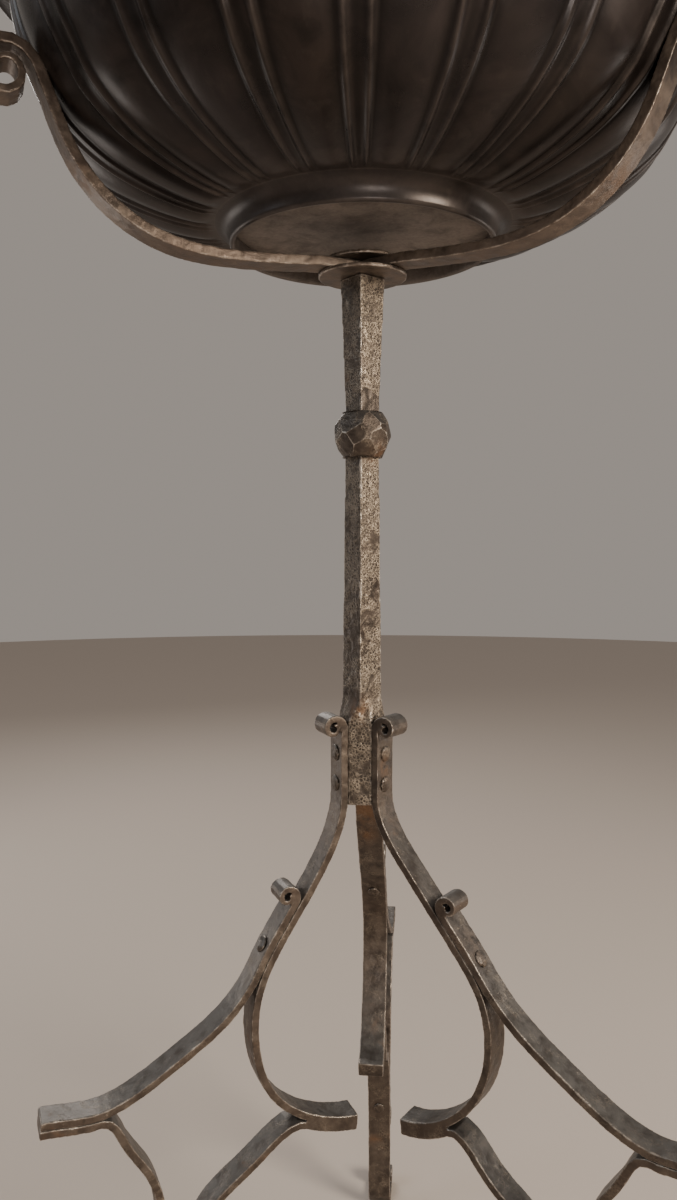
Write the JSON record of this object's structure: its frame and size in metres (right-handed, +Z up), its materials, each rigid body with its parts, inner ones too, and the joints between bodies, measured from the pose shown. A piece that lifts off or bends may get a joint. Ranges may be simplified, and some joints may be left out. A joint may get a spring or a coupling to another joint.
{
  "type": "wrought iron tripod stand with basin",
  "caption": "Forged iron tripod stand with scrolled strap legs, a knopped square post and a curled-arm cradle that holds a lift-out fluted basin.",
  "frame": {"origin": "on the floor under the post's centreline, at the bottom centre of the bounding box", "axes": "+Z up along the post, -Y towards the front between the left and right legs, +X towards the right leg"},
  "size_m": [0.58, 0.58, 1.12],
  "materials": {
    "wrought_iron": "hammered dark brown-grey forged iron, worn bare along the edges, with patches of rust",
    "rivet_iron": "hammered rivet heads, rubbed lighter than the bars",
    "basin_metal": "near-black brown patina with a soft sheen"
  },
  "bodies": {
    "stand": {"post": "wrought_iron", "knob": "wrought_iron", "hub_plate": "wrought_iron", "hub_washer": "wrought_iron", "arm_left": "wrought_iron", "arm_right": "wrought_iron", "arm_rear": "wrought_iron", "leg_left_bar": "wrought_iron", "leg_left_outer_arc": "wrought_iron", "leg_left_lower_outer": "wrought_iron", "leg_left_lower_inner": "wrought_iron", "leg_left_post_rivet_1": "rivet_iron", "leg_left_post_rivet_2": "rivet_iron", "leg_left_arc_rivet": "rivet_iron", "leg_left_lower_rivet": "rivet_iron", "leg_right_bar": "wrought_iron", "leg_right_outer_arc": "wrought_iron", "leg_right_lower_outer": "wrought_iron", "leg_right_lower_inner": "wrought_iron", "leg_right_post_rivet_1": "rivet_iron", "leg_right_post_rivet_2": "rivet_iron", "leg_right_arc_rivet": "rivet_iron", "leg_right_lower_rivet": "rivet_iron", "leg_rear_bar": "wrought_iron", "leg_rear_outer_arc": "wrought_iron", "leg_rear_lower_outer": "wrought_iron", "leg_rear_lower_inner": "wrought_iron", "leg_rear_post_rivet_1": "rivet_iron", "leg_rear_post_rivet_2": "rivet_iron", "leg_rear_arc_rivet": "rivet_iron", "leg_rear_lower_rivet": "rivet_iron"},
    "basin": {"basin_bowl": "basin_metal", "basin_foot_ring": "basin_metal"}
  },
  "joints": [
    {"name": "basin_lift", "type": "slide", "parent": "stand", "child": "basin", "axis": [0, 0, 1], "range_m": [0, 0.25]}
  ]
}
